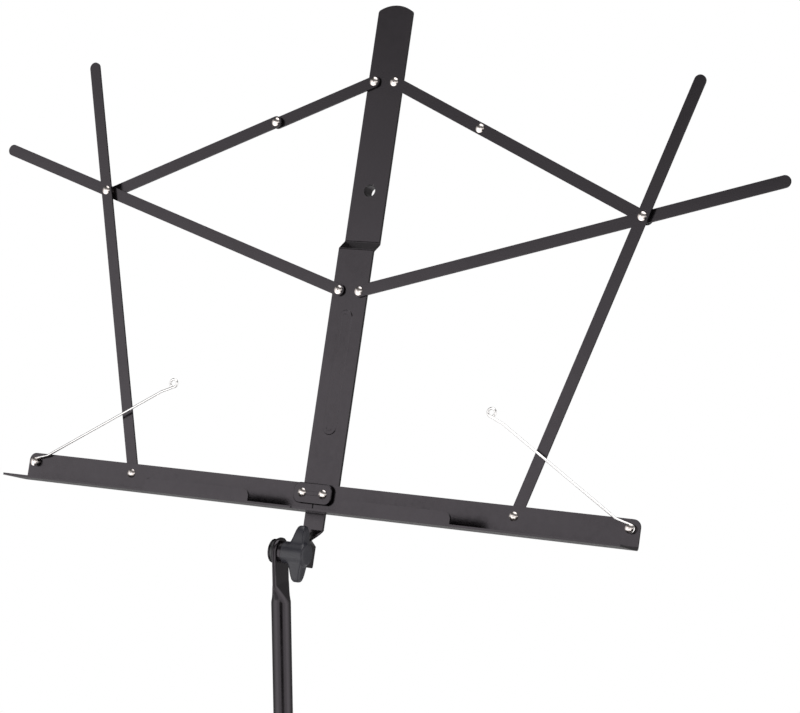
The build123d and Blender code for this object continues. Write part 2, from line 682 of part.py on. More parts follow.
def build_upper_tube():
    """Round tube whose top is pressed flat for the tilt bolt."""
    crimp_low = TILT_HEIGHT - TONGUE_LENGTH - CRIMP_LENGTH
    crimp_middle = TILT_HEIGHT - TONGUE_LENGTH - CRIMP_LENGTH / 2
    crimp_high = TILT_HEIGHT - TONGUE_LENGTH
    tilt_side = Plane(origin=(POLE_X, POLE_Y, TILT_HEIGHT), x_dir=(0, 1, 0), z_dir=(1, 0, 0))
    with BuildPart() as tube:
        with BuildSketch(pole_frame(UPPER_BOTTOM)):
            Circle(UPPER_RADIUS)
        extrude(amount=crimp_low - UPPER_BOTTOM)
        with BuildSketch(pole_frame(crimp_low)):
            Circle(UPPER_RADIUS)
        with BuildSketch(pole_frame(crimp_middle)):
            Ellipse(CRIMP_HALF_DEPTH, CRIMP_HALF_WIDTH)
        loft()
        with BuildSketch(pole_frame(crimp_middle)):
            Ellipse(CRIMP_HALF_DEPTH, CRIMP_HALF_WIDTH)
        with BuildSketch(pole_frame(crimp_high)):
            RectangleRounded(TONGUE_SHEET, TONGUE_WIDTH, TONGUE_SHEET / 2 - 0.05)
        loft()
        with BuildSketch(tilt_side):
            with Locations((0, -TONGUE_LENGTH / 2)):
                Rectangle(TONGUE_WIDTH, TONGUE_LENGTH)
            Circle(TONGUE_WIDTH / 2)
            Circle(BOLT_RADIUS, mode=Mode.SUBTRACT)
        extrude(amount=TONGUE_SHEET / 2, both=True)
        with BuildSketch(pole_frame(UPPER_BOTTOM)):
            Circle(UPPER_RADIUS - TUBE_WALL)
        extrude(amount=crimp_low - UPPER_BOTTOM - 2, mode=Mode.SUBTRACT)
    return tube


def build_tube(radius, low, high, screw_azimuth):
    """Straight tube with a hole near its top for the clamp screw."""
    with BuildPart() as tube:
        with BuildSketch(pole_frame(low)):
            Circle(radius)
            Circle(radius - TUBE_WALL, mode=Mode.SUBTRACT)
        extrude(amount=high - low)
        with BuildSketch(screw_frame(high - SCREW_DROP, screw_azimuth)):
            Circle(SCREW_RADIUS + 0.1)
        extrude(amount=2 * radius, mode=Mode.SUBTRACT)
    return tube


def build_bush(inner, outer, high, screw_azimuth):
    """Plastic sleeve in a tube's mouth that the next tube slides through."""
    with BuildPart() as bush:
        with BuildSketch(pole_frame(high - BUSH_LENGTH)):
            Circle(outer)
            Circle(inner, mode=Mode.SUBTRACT)
        extrude(amount=BUSH_LENGTH)
        with BuildSketch(screw_frame(high - SCREW_DROP, screw_azimuth)):
            Circle(SCREW_RADIUS + 0.1)
        extrude(amount=2 * outer, mode=Mode.SUBTRACT)
    return bush


def build_guide(inner, outer, low):
    """Plastic ring on a tube's lower end that centres it in the next tube."""
    return single(turned(pole_frame(low), [
        (inner, 0), (outer - 0.5, 0), (outer, 0.5), (outer, GUIDE_LENGTH), (inner, GUIDE_LENGTH)]))


def build_clamp(tube_radius, inner_tube_radius, top, azimuth):
    """Collar on a tube's mouth with a lip over the bush and a boss for the wing screw."""
    outer = tube_radius + CLAMP_WALL
    frame = screw_frame(top - SCREW_DROP, azimuth)
    with BuildPart() as clamp:
        with BuildSketch(axial_plane(pole_frame(top))):
            with BuildLine():
                Polyline((tube_radius, CLAMP_LIP - CLAMP_HEIGHT), (outer - 0.8, CLAMP_LIP - CLAMP_HEIGHT),
                         (outer, CLAMP_LIP - CLAMP_HEIGHT + 0.8), (outer, CLAMP_LIP - 1.6),
                         (outer - 1.6, CLAMP_LIP), (inner_tube_radius + 0.15, CLAMP_LIP),
                         (inner_tube_radius + 0.15, 0), (tube_radius, 0), close=True)
            make_face()
        revolve(axis=Axis((POLE_X, POLE_Y, top), (0, 0, 1)))
        with BuildSketch(frame.offset(outer - 2)):
            Circle(BOSS_RADIUS)
        extrude(amount=tube_radius + BOSS_REACH - 7 - outer + 2)
        with BuildSketch(frame):
            Circle(SCREW_RADIUS + RUNNING)
        extrude(amount=tube_radius + BOSS_REACH, mode=Mode.SUBTRACT)
    return clamp


def build_wing_screw(frame, tip, boss_end):
    """Wing screw: a threaded shank moulded into a wing knob."""
    start = boss_end + 0.4
    knob = build_wing(frame, start, SCREW_RADIUS, WING_SPAN, WING_LENGTH)
    with BuildPart() as screw:
        add(knob.part)
        with BuildSketch(frame.offset(tip)):
            Circle(SCREW_RADIUS)
        extrude(amount=start + WING_LENGTH * KNOB_BORE_SHARE - tip)
    return screw


# ---------------------------------------------------------------- tripod


def leg_frame(azimuth):
    """Frame of one leg: origin at its top pivot, x down the leg, y away from the pole."""
    upright = leg_plane(azimuth)
    direction = upright.x_dir * LEG_SIN - upright.y_dir * LEG_COS
    origin = upright.from_local_coords(Vector(LEG_PIVOT_RADIUS, COLLAR_PIVOT_Z))
    return Plane(origin=origin, x_dir=direction, z_dir=upright.z_dir)


def strut_frame(azimuth):
    """Frame of one strut: origin at its hub pivot, x up the strut, y away from the pole."""
    upright = leg_plane(azimuth)
    direction = upright.x_dir * LEG_SIN + upright.y_dir * LEG_COS
    origin = upright.from_local_coords(Vector(LEG_PIVOT_RADIUS, HUB_PIVOT_Z))
    return Plane(origin=origin, x_dir=direction, z_dir=-upright.z_dir)


def build_leg(azimuth):
    """Channel-section leg, open towards the pole."""
    depth = LEG_OUTER + LEG_INNER
    middle = (LEG_OUTER - LEG_INNER) / 2
    with BuildPart() as leg:
        with BuildSketch(leg_frame(azimuth)):
            with Locations((LEG_LENGTH / 2, middle)):
                Rectangle(LEG_LENGTH, depth)
            Circle(LEG_INNER)
            with Locations((0, 0), (STRUT_LENGTH, 0)):
                Circle(PIN_RADIUS, mode=Mode.SUBTRACT)
        extrude(amount=LEG_WIDTH / 2, both=True)
        with BuildSketch(leg_frame(azimuth)):
            with Locations((LEG_LENGTH / 2, middle - LEG_WALL - LEG_OUTER)):
                Rectangle(LEG_LENGTH + 4 * LEG_INNER, depth + 2 * LEG_OUTER)
        extrude(amount=LEG_WIDTH / 2 - LEG_WALL, both=True, mode=Mode.SUBTRACT)
    return leg


def build_leg_rivets(azimuth):
    """Stub rivets at the leg's top pivot and the through pin for the strut."""
    frame = leg_frame(azimuth)
    half = LEG_WIDTH / 2
    inner = half - LEG_WALL
    head = PIN_HEAD_HEIGHT
    solids = [turned(frame, [(0, side * inner), (PIN_RADIUS, side * inner), (PIN_RADIUS, side * half),
                             (PIN_HEAD, side * half), (PIN_HEAD * 0.8, side * (half + head)),
                             (0, side * (half + head))]) for side in (-1, 1)]
    pin = Plane(origin=frame.from_local_coords(Vector(STRUT_LENGTH, 0)), x_dir=frame.x_dir,
                z_dir=frame.z_dir)
    solids.append(turned(pin, [
        (0, -half - head), (PIN_HEAD * 0.8, -half - head), (PIN_HEAD, -half), (PIN_RADIUS, -half),
        (PIN_RADIUS, half), (PIN_HEAD, half), (PIN_HEAD * 0.8, half + head), (0, half + head)]))
    return grouped(solids)


def build_foot(azimuth):
    """Rubber boot on a leg's end, cut flat where it meets the floor."""
    frame = leg_frame(azimuth)
    length = FOOT_GRIP + FOOT_TIP
    depth = LEG_OUTER + LEG_INNER
    middle = (LEG_OUTER - LEG_INNER) / 2
    upright = leg_plane(azimuth)
    with BuildPart() as foot:
        with BuildSketch(frame):
            with Locations((LEG_LENGTH - FOOT_GRIP + length / 2, middle)):
                RectangleRounded(length, depth + 2 * FOOT_WALL, 2.2)
        extrude(amount=LEG_WIDTH / 2 + FOOT_WALL, both=True)
        rims = foot.faces().filter_by(Axis((0, 0, 0), upright.z_dir)).edges()
        fillet(rims, radius=1.6)
        with BuildSketch(frame):
            with Locations((LEG_LENGTH - FOOT_GRIP, middle)):
                Rectangle(2 * FOOT_GRIP, depth)
        extrude(amount=LEG_WIDTH / 2, both=True, mode=Mode.SUBTRACT)
        with BuildSketch(Plane.XY):
            with Locations((POLE_X, POLE_Y)):
                Circle(2 * LEG_LENGTH)
        extrude(amount=-5 * FOOT_TIP, mode=Mode.SUBTRACT)
    return foot


def build_strut(azimuth):
    """Channel-section strut with its web cut away round both pivots."""
    frame = strut_frame(azimuth)
    web = STRUT_HALF_DEPTH - STRUT_WALL
    deep = 4 * STRUT_HALF_DEPTH
    with BuildPart() as strut:
        with BuildSketch(frame):
            with Locations((STRUT_LENGTH / 2, 0)):
                SlotCenterToCenter(STRUT_LENGTH, 2 * STRUT_HALF_DEPTH)
            with Locations((0, 0), (STRUT_LENGTH, 0)):
                Circle(PIN_RADIUS + RUNNING, mode=Mode.SUBTRACT)
        extrude(amount=STRUT_WIDTH / 2, both=True)
        with BuildSketch(frame):
            with Locations((STRUT_LENGTH / 2, web - deep / 2)):
                Rectangle(STRUT_LENGTH + deep, deep)
            with Locations((STRUT_NOTCH - deep / 2, 0), (STRUT_LENGTH - STRUT_NOTCH + deep / 2, 0)):
                Rectangle(deep, deep)
        extrude(amount=STRUT_WIDTH / 2 - STRUT_WALL, both=True, mode=Mode.SUBTRACT)
    return strut


def build_leg_collar():
    """Sliding collar with three leg lugs and a boss for its wing screw."""
    half = COLLAR_HEIGHT / 2
    lug = LEG_WIDTH / 2 - LEG_WALL - LAYER_GAP
    frame = screw_frame(COLLAR_PIVOT_Z, COLLAR_SCREW_AZIMUTH)
    with BuildPart() as collar:
        with BuildSketch(axial_plane(pole_frame(COLLAR_PIVOT_Z))):
            with BuildLine():
                Polyline((LOWER_RADIUS, -half), (COLLAR_OUTER - 1, -half), (COLLAR_OUTER, 1 - half),
                         (COLLAR_OUTER, half - 1), (COLLAR_OUTER - 1, half), (LOWER_RADIUS, half),
                         close=True)
            make_face()
        revolve(axis=Axis((POLE_X, POLE_Y, COLLAR_PIVOT_Z), (0, 0, 1)))
        for azimuth in LEG_AZIMUTHS.values():
            with BuildSketch(leg_plane(azimuth)):
                with Locations(((COLLAR_OUTER + LEG_PIVOT_RADIUS) / 2 - 1, COLLAR_PIVOT_Z)):
                    Rectangle(LEG_PIVOT_RADIUS - COLLAR_OUTER + 2, 2 * LUG_RADIUS)
                with Locations((LEG_PIVOT_RADIUS, COLLAR_PIVOT_Z)):
                    Circle(LUG_RADIUS)
            extrude(amount=lug, both=True)
        with BuildSketch(frame.offset(COLLAR_OUTER - 2)):
            Circle(BOSS_RADIUS)
        extrude(amount=BOSS_REACH + 2 - COLLAR_OUTER + 4)
        with BuildSketch(frame):
            Circle(SCREW_RADIUS + RUNNING)
        extrude(amount=2 * BOSS_REACH, mode=Mode.SUBTRACT)
        with BuildSketch(pole_frame(COLLAR_PIVOT_Z - COLLAR_HEIGHT)):
            Circle(LOWER_RADIUS + RUNNING)
        extrude(amount=2 * COLLAR_HEIGHT, mode=Mode.SUBTRACT)
    return collar


def build_leg_hub():
    """Fixed hub at the foot of the lower tube, with three strut lugs."""
    half = HUB_HEIGHT / 2
    lug = STRUT_WIDTH / 2 - STRUT_WALL - 0.2
    with BuildPart() as hub:
        with BuildSketch(axial_plane(pole_frame(HUB_PIVOT_Z))):
            with BuildLine():
                Polyline((LOWER_RADIUS, -half), (COLLAR_OUTER - 1, -half), (COLLAR_OUTER, 1 - half),
                         (COLLAR_OUTER, half - 1), (COLLAR_OUTER - 1, half), (LOWER_RADIUS, half),
                         close=True)
            make_face()
        revolve(axis=Axis((POLE_X, POLE_Y, HUB_PIVOT_Z), (0, 0, 1)))
        for azimuth in LEG_AZIMUTHS.values():
            with BuildSketch(leg_plane(azimuth)):
                with Locations(((COLLAR_OUTER + LEG_PIVOT_RADIUS) / 2 - 1, HUB_PIVOT_Z)):
                    Rectangle(LEG_PIVOT_RADIUS - COLLAR_OUTER + 2, 2 * LUG_RADIUS)
                with Locations((LEG_PIVOT_RADIUS, HUB_PIVOT_Z)):
                    Circle(LUG_RADIUS)
            extrude(amount=lug, both=True)
            with BuildSketch(leg_plane(azimuth)):
                with Locations((LEG_PIVOT_RADIUS, HUB_PIVOT_Z)):
                    Circle(PIN_RADIUS)
            extrude(amount=2 * lug, both=True, mode=Mode.SUBTRACT)
        with BuildSketch(pole_frame(HUB_PIVOT_Z - HUB_HEIGHT)):
            Circle(LOWER_RADIUS)
        extrude(amount=2 * HUB_HEIGHT, mode=Mode.SUBTRACT)
    return hub


def build_hub_pins():
    """Three flush pins that carry the struts on the hub."""
    reach = STRUT_WIDTH / 2 + 0.2
    solids = []
    for azimuth in LEG_AZIMUTHS.values():
        frame = strut_frame(azimuth)
        solids.append(turned(frame, [
            (0, -reach), (PIN_RADIUS - 0.3, -reach), (PIN_RADIUS, 0.3 - reach),
            (PIN_RADIUS, reach - 0.3), (PIN_RADIUS - 0.3, reach), (0, reach)]))
    return grouped(solids)


def build_end_cap():
    """Plug in the bottom of the lower tube."""
    bore = LOWER_RADIUS - TUBE_WALL
    return single(turned(pole_frame(LOWER_BOTTOM), [
        (0, -4), (LOWER_RADIUS - 1.5, -4), (LOWER_RADIUS, -2.5), (LOWER_RADIUS, 0), (bore, 0),
        (bore - 0.4, 10), (0, 10)]))


# ---------------------------------------------------------------- make every piece

strips = {
    "lower_arm": build_strip(MID_PIVOT, CROSS_PIVOT, ARM_LINK + LOWER_ARM_OVERHANG - STRIP_WIDTH / 2,
                             LOWER_ARM_Q,
                             [(MID_PIVOT, RIVET_RADIUS + RUNNING), (CROSS_PIVOT, RIVET_RADIUS)]),
    "outer_bar": build_strip(BAR_PIVOT, CROSS_PIVOT, ARM_LINK + OUTER_BAR_OVERHANG - STRIP_WIDTH / 2,
                             OUTER_BAR_Q,
                             [(BAR_PIVOT, RIVET_RADIUS), (CROSS_PIVOT, RIVET_RADIUS + RUNNING)]),
    "outer_link": build_strip(CROSS_PIVOT, KNEE_PIVOT, OUTER_LINK, OUTER_LINK_Q,
                              [(CROSS_PIVOT, RIVET_RADIUS + RUNNING), (KNEE_PIVOT, RIVET_RADIUS)]),
    "inner_link": build_strip(TOP_PIVOT, KNEE_PIVOT, INNER_LINK, INNER_LINK_Q,
                              [(TOP_PIVOT, RIVET_RADIUS + RUNNING), (KNEE_PIVOT, RIVET_RADIUS)]),
}
right_pieces = {
    "tray": build_tray(),
    "tray_rivets": build_tray_rivets(),
    "page_wire": build_page_wire(),
    "cross_rivet": build_cross_rivet(),
    "knee_rivet": build_knee_rivet(),
    "knee_washer": build_knee_washer(),
    "bar_end_rivet": build_bar_end_rivet(),
    **strips,
}
for name, piece in right_pieces.items():
    save(piece, f"{name}_right")
    save(mirrored(piece), f"{name}_left")

save(build_centre_bar(), "centre_bar")
save(build_hang_sleeve(), "hang_sleeve")
save(build_pivot_cover(), "pivot_cover")
save(build_tray_bushes(), "tray_bushes")
save(build_tray_pivot_rivets(), "tray_pivot_rivets")
save(build_bar_rivets(), "bar_rivets")

save(build_tilt_bolt(), "tilt_bolt")
save(build_tilt_washer(), "tilt_washer")
save(build_tilt_nut(), "tilt_knob_nut")
save(build_wing(tilt_frame(), TILT_STACK["knob"], KNOB_INSERT_RADIUS, KNOB_SPAN, KNOB_LENGTH), "tilt_knob")

save(build_upper_tube(), "upper_tube")
save(build_guide(UPPER_RADIUS, MIDDLE_RADIUS - TUBE_WALL - RUNNING, UPPER_BOTTOM), "upper_guide")
save(build_tube(MIDDLE_RADIUS, MIDDLE_BOTTOM, MIDDLE_TOP, CLAMP_AZIMUTH), "middle_tube")
save(build_bush(UPPER_RADIUS + RUNNING, MIDDLE_RADIUS - TUBE_WALL, MIDDLE_TOP, CLAMP_AZIMUTH), "upper_bush")
save(build_clamp(MIDDLE_RADIUS, UPPER_RADIUS, MIDDLE_TOP, CLAMP_AZIMUTH), "upper_clamp")
save(build_guide(MIDDLE_RADIUS, LOWER_RADIUS - TUBE_WALL - RUNNING, MIDDLE_BOTTOM), "middle_guide")
save(build_tube(LOWER_RADIUS, LOWER_BOTTOM, LOWER_TOP, CLAMP_AZIMUTH), "lower_tube")
save(build_bush(MIDDLE_RADIUS + RUNNING, LOWER_RADIUS - TUBE_WALL, LOWER_TOP, CLAMP_AZIMUTH), "lower_bush")
save(build_clamp(LOWER_RADIUS, MIDDLE_RADIUS, LOWER_TOP, CLAMP_AZIMUTH), "lower_clamp")
for name, inner, outer, top in (("upper", UPPER_RADIUS, MIDDLE_RADIUS, MIDDLE_TOP),
                                ("lower", MIDDLE_RADIUS, LOWER_RADIUS, LOWER_TOP)):
    frame = screw_frame(top - SCREW_DROP, CLAMP_AZIMUTH)
    save(build_wing_screw(frame, inner + 0.15, outer + BOSS_REACH - 7), f"{name}_clamp_screw")

save(build_end_cap(), "pole_end_cap")
save(build_leg_hub(), "leg_hub")
save(build_hub_pins(), "hub_pins")
save(build_leg_collar(), "leg_collar")
save(build_wing_screw(screw_frame(COLLAR_PIVOT_Z, COLLAR_SCREW_AZIMUTH), LOWER_RADIUS + 0.15,
                      BOSS_REACH + 4), "leg_collar_screw")
for name, azimuth in LEG_AZIMUTHS.items():
    save(build_leg(azimuth), f"leg_{name}")
    save(build_leg_rivets(azimuth), f"leg_rivets_{name}")
    save(build_foot(azimuth), f"foot_{name}")
    save(build_strut(azimuth), f"strut_{name}")
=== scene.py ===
import json
import math

import bmesh
import bpy
from mathutils import Matrix, Vector


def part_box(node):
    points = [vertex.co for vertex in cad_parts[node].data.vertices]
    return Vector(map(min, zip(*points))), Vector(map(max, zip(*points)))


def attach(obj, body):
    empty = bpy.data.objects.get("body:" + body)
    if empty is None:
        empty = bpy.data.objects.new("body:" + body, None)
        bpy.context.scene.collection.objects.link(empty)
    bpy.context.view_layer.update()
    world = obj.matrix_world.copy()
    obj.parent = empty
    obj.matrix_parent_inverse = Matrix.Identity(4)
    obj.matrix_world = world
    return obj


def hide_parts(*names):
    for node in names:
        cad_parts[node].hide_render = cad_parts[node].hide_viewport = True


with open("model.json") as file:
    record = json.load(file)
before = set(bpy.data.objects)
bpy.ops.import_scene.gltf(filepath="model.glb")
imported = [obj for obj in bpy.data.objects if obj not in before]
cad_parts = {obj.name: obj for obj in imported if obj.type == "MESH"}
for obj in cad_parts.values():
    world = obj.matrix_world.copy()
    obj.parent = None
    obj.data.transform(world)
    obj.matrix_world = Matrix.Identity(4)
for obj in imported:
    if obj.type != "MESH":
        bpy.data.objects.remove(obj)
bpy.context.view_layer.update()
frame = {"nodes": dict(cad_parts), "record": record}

MM = 0.001

# ---------------------------------------------------------------- driving dimensions, metres

# Camera: where it looks, and how far and from which side it looks
AIM = Vector((35.5, 34.9, 1176.1)) * MM
VIEW_AZIMUTH = 28.637
VIEW_ELEVATION = 9.725
VIEW_ROLL = -0.605
VIEW_DISTANCE = 1812.2 * MM
LENS = 112.3
SENSOR = 36.0
CLIP_END = 100.0

# Studio: (low, high, level at low, level at high), over how far a direction faces the camera;
# the last two over how far it rises
STUDIO_BACK = (-0.60, 0.50, 0.22, 2.05)
STUDIO_FALL = (0.50, 0.75, 1.0, 0.72)
STUDIO_GAP = (0.905, 0.955, 1.0, 0.0)
STUDIO_TOP = (0.34, 0.57, 1.0, 0.08)
STUDIO_OVERHEAD = (0.80, 0.93, 0.0, 1.9)
# Light panel: azimuth, elevation, distance, width, height, radiance
TOP_PANEL = (0, 85, 1.6, 1.4, 1.4, 0.5)
FLOOR_RADIUS = 1.5
FLOOR_SIDES = 96

# Soft edges of the stamped, turned and moulded pieces
SHEET_EDGE = 0.22 * MM
MOULDED_EDGE = 0.5 * MM
SOFTENED_FROM = math.radians(35)
WELD = 0.002 * MM

# Wing knobs: hub, blade, and how squarely their outlines join
KNOB_LEAN = math.radians(16.0)
KNOB_LENGTH = 17.7 * MM
KNOB_SPAN = 40.0 * MM
SCREW_KNOB_LENGTH = 15.0 * MM
SCREW_KNOB_SPAN = 34.0 * MM
HUB_RADIUS = 7.8 * MM
BLADE_HALF = 4.9 * MM
SHANK_RADIUS = 2.5 * MM
INSERT_RADIUS = 5.0 * MM
BORE_SHARE = 0.55
SECTION_POINTS = 96
UNION_SHARPNESS = 7.0
BLADE_SQUARENESS = 3.4
# Wing reach as (share of the length, share of the way from half the blade to half the span)
WING_PROFILE = (
    (0.00, 0.00), (0.10, 0.00), (0.16, 0.02), (0.22, 0.08), (0.28, 0.22), (0.34, 0.44),
    (0.40, 0.67), (0.45, 0.84), (0.49, 0.93), (0.54, 0.985), (0.60, 1.00), (0.73, 1.00),
    (0.785, 0.985), (0.82, 0.94), (0.845, 0.85), (0.862, 0.70), (0.878, 0.50), (0.897, 0.32),
    (0.925, 0.16), (0.955, 0.06), (0.985, 0.01), (1.00, 0.00),
)
HUB_ROUNDING = 1.1 * MM
HUB_ROUND_FROM = 0.92
HUB_CHAMFER = 0.5 * MM
SHANK_CHAMFER = 0.4 * MM
KNOB_FACE_SHARE = 0.5
KNOB_SHARP_FROM = math.radians(50)

# Crimped tube top
TUBE_RADIUS = 7.0 * MM
TONGUE_HALF = 1.55 * MM
TONGUE_WIDTH = 20.0 * MM
TONGUE_BELOW_BOLT = 22.5 * MM
CRIMP_LENGTH = 14.0 * MM
CRIMP_ROUND = 3.0 * MM
DIE_CLEARANCE = 1.02
TIP_HALF_WIDTH = 0.4 * MM
RING_STEP = 0.5 * MM
CRIMP_SHARP_FROM = math.radians(28)

# ---------------------------------------------------------------- shader helpers


def range_inputs(value, low, high, out_low, out_high):
    """Inputs of a Map Range node."""
    return {
        "Value": value, "From Min": low, "From Max": high, "To Min": out_low, "To Max": out_high,
    }


def add_node(tree, kind, inputs, **settings):
    """Shader node whose inputs are linked to sockets or set to values."""
    made = tree.nodes.new(kind)
    for name, value in settings.items():
        setattr(made, name, value)
    for name, value in inputs.items():
        if isinstance(value, bpy.types.NodeSocket):
            tree.links.new(value, made.inputs[name])
        else:
            made.inputs[name].default_value = value
    return made


class Finish:
    """A Principled material being put together from nodes, in object coordinates."""

    def __init__(self, name, metallic=0.0, **uniform):
        self.material = bpy.data.materials.new(name)
        self.material.use_nodes = True
        self.tree = self.material.node_tree
        self.shader = self.tree.nodes["Principled BSDF"]
        self.shader.inputs["Metallic"].default_value = metallic
        for socket, value in uniform.items():
            self.shader.inputs[socket.replace("_", " ")].default_value = value
        self.place = self.tree.nodes.new("ShaderNodeTexCoord").outputs["Object"]

    def node(self, kind, inputs, **settings):
        return add_node(self.tree, kind, inputs, **settings)

    def noise(self, size, detail=2.0, roughness=0.5, stretch=(1, 1, 1)):
        """Noise of about the given feature size in metres, from 0 to 1."""
        spread = {"Vector": self.place, "Scale": stretch}
        place = self.node("ShaderNodeMapping", spread).outputs["Vector"]
        inputs = {"Vector": place, "Scale": 1 / size, "Detail": detail, "Roughness": roughness}
        return self.node("ShaderNodeTexNoise", inputs).outputs["Fac"]

    def span(self, value, low, high, out_low=0.0, out_high=1.0):
        """A value from one range to another, clamped."""
        inputs = range_inputs(value, low, high, out_low, out_high)
        return self.node("ShaderNodeMapRange", inputs).outputs["Result"]

    def times(self, first, second):
        return self.node("ShaderNodeMath", {0: first, 1: second}, operation="MULTIPLY").outputs[0]

    def mix(self, share, first, second):
        """Colour mix of two colours or sockets."""
        colours = [c if isinstance(c, bpy.types.NodeSocket) else (*c, 1.0) for c in (first, second)]
        inputs = {0: share, 6: colours[0], 7: colours[1]}
        return self.node("ShaderNodeMix", inputs, data_type="RGBA").outputs[2]

    def edges(self, radius, low=0.015, high=0.12):
        """Mask of the worn outer edges, from 0 to 1."""
        soft = self.node("ShaderNodeBevel", {"Radius": radius}, samples=4).outputs["Normal"]
        true = self.tree.nodes.new("ShaderNodeNewGeometry").outputs["Normal"]
        turn = self.node("ShaderNodeVectorMath", {0: soft, 1: true}, operation="DOT_PRODUCT")
        return self.span(turn.outputs["Value"], 1 - low, 1 - high)

    def bump(self, *layers):
        """Stacked bumps from (height, depth in metres) pairs."""
        normal = None
        for height, depth in layers:
            inputs = {"Height": height, "Distance": depth, "Strength": 1.0}
            if normal:
                inputs["Normal"] = normal
            normal = self.node("ShaderNodeBump", inputs).outputs["Normal"]
        self.tree.links.new(normal, self.shader.inputs["Normal"])

    def finish(self, colour, roughness):
        self.tree.links.new(colour, self.shader.inputs["Base Color"])
        self.tree.links.new(roughness, self.shader.inputs["Roughness"])
        return self.material


# ---------------------------------------------------------------- materials


def powder_coat():
    """Satin black paint: faint mottle, orange peel, rubbed edges."""
    look = Finish("satin_black_paint", Specular_Tint=(1.0, 0.92, 1.0, 1.0))
    broad = look.noise(38 * MM, detail=4.0)
    fine = look.noise(5 * MM, detail=5.0, roughness=0.6)
    peel = look.noise(1.3 * MM, detail=1.0)
    grain = look.noise(0.28 * MM, detail=1.0)
    scuffs = look.span(look.noise(9 * MM, detail=6.0, roughness=0.7), 0.6, 0.72)
    worn = look.times(look.edges(0.5 * MM), look.span(fine, 0.45, 0.62, 0.1, 1.0))
    paint = look.mix(broad, (0.0030, 0.0026, 0.0030), (0.0050, 0.0042, 0.0048))
    colour = look.mix(look.times(worn, 0.35), paint, (0.060, 0.055, 0.057))
    roughness = look.span(look.times(fine, broad), 0.12, 0.4, 0.16, 0.25)
    rubbing = {0: roughness, 1: look.times(scuffs, 0.05)}
    rubbed = look.node("ShaderNodeMath", rubbing, operation="ADD")
    look.bump((peel, 0.010 * MM), (grain, 0.006 * MM))
    return look.finish(colour, rubbed.outputs[0])


def bright_nickel():
    """Nickel-plated rivet heads with fine handling marks."""
    look = Finish("bright_nickel", metallic=1.0)
    tone = look.noise(1.6 * MM, detail=3.0)
    marks = look.noise(0.35 * MM, detail=3.0, roughness=0.7)
    colour = look.mix(look.span(tone, 0.35, 0.65), (0.86, 0.80, 0.76), (0.70, 0.65, 0.62))
    look.bump((marks, 0.012 * MM), (tone, 0.03 * MM))
    return look.finish(colour, look.span(marks, 0.3, 0.7, 0.12, 0.24))


def drawn_wire():
    """Bright spring wire with faint marks from drawing."""
    look = Finish("drawn_spring_wire", metallic=1.0)
    tone = look.noise(6 * MM, detail=4.0)
    streaks = look.noise(0.25 * MM, detail=2.0)
    colour = look.mix(tone, (0.84, 0.84, 0.83), (0.94, 0.93, 0.91))
    look.bump((streaks, 0.0015 * MM))
    return look.finish(colour, look.span(streaks, 0.3, 0.7, 0.24, 0.34))


def zinc_plate():
    """Zinc-plated steel with a cloudy passivated film."""
    look = Finish("zinc_plate", metallic=1.0)
    cloud = look.noise(4 * MM, detail=4.0, roughness=0.65)
    grain = look.noise(0.3 * MM, detail=2.0)
    colour = look.mix(cloud, (0.52, 0.53, 0.54), (0.70, 0.69, 0.66))
    look.bump((grain, 0.01 * MM))
    return look.finish(colour, look.span(cloud, 0.3, 0.7, 0.28, 0.42))


def moulded(name, dark, light, roughness, texture):
    """Moulded black plastic with a fine spark-eroded texture and rubbed edges."""
    look = Finish(name)
    broad = look.noise(14 * MM, detail=3.0)
    grain = look.noise(texture, detail=2.0)
    worn = look.times(look.edges(0.7 * MM), look.span(look.noise(3 * MM, detail=4.0), 0.4, 0.65))
    colour = look.mix(look.times(worn, 0.3), look.mix(broad, dark, light), [3 * c for c in light])
    look.bump((grain, 0.02 * MM), (broad, 0.05 * MM))
    return look.finish(colour, look.span(broad, 0.3, 0.7, roughness - 0.05, roughness + 0.05))


def rubber():
    """Dull black rubber, dusty where it is rubbed."""
    look = Finish("foot_rubber")
    dust = look.span(look.noise(6 * MM, detail=5.0, roughness=0.7), 0.45, 0.75)
    grain = look.noise(0.4 * MM, detail=3.0)
    colour = look.mix(look.times(dust, 0.5), (0.014, 0.014, 0.014), (0.060, 0.057, 0.053))
    look.bump((grain, 0.03 * MM))
    return look.finish(colour, look.span(dust, 0.0, 1.0, 0.62, 0.85))


FINISHES = {
    "black_steel": powder_coat(),
    "nickel_rivet": bright_nickel(),
    "spring_wire": drawn_wire(),
    "zinc_steel": zinc_plate(),
    "black_nylon": moulded(
        "black_nylon", (0.012, 0.012, 0.013), (0.02, 0.02, 0.021), 0.42, 0.5 * MM),
    "knob_plastic": moulded(
        "knob_plastic", (0.013, 0.013, 0.018), (0.02, 0.02, 0.027), 0.40, 0.35 * MM),
    "clamp_plastic": moulded(
        "clamp_plastic", (0.013, 0.013, 0.015), (0.02, 0.02, 0.022), 0.46, 0.4 * MM),
    "foot_rubber": rubber(),
}

# ---------------------------------------------------------------- carried-over CAD nodes


def node_slots():
    """The record's material slot of every CAD node."""
    return {part["node"]: part["material_slot"] for part in frame["record"]["subparts"]}


def soften(obj, width):
    """Weld a CAD mesh's seams and round its sharp edges a little."""
    weld = obj.modifiers.new("weld", "WELD")
    weld.merge_threshold = WELD
    bevel = obj.modifiers.new("soft_edge", "BEVEL")
    bevel.width = width
    bevel.segments = 2
    bevel.limit_method = "ANGLE"
    bevel.angle_limit = SOFTENED_FROM
    bevel.use_clamp_overlap = True
    bevel.harden_normals = False
    normals = obj.modifiers.new("even_normals", "WEIGHTED_NORMAL")
    normals.keep_sharp = False
    normals.weight = 100


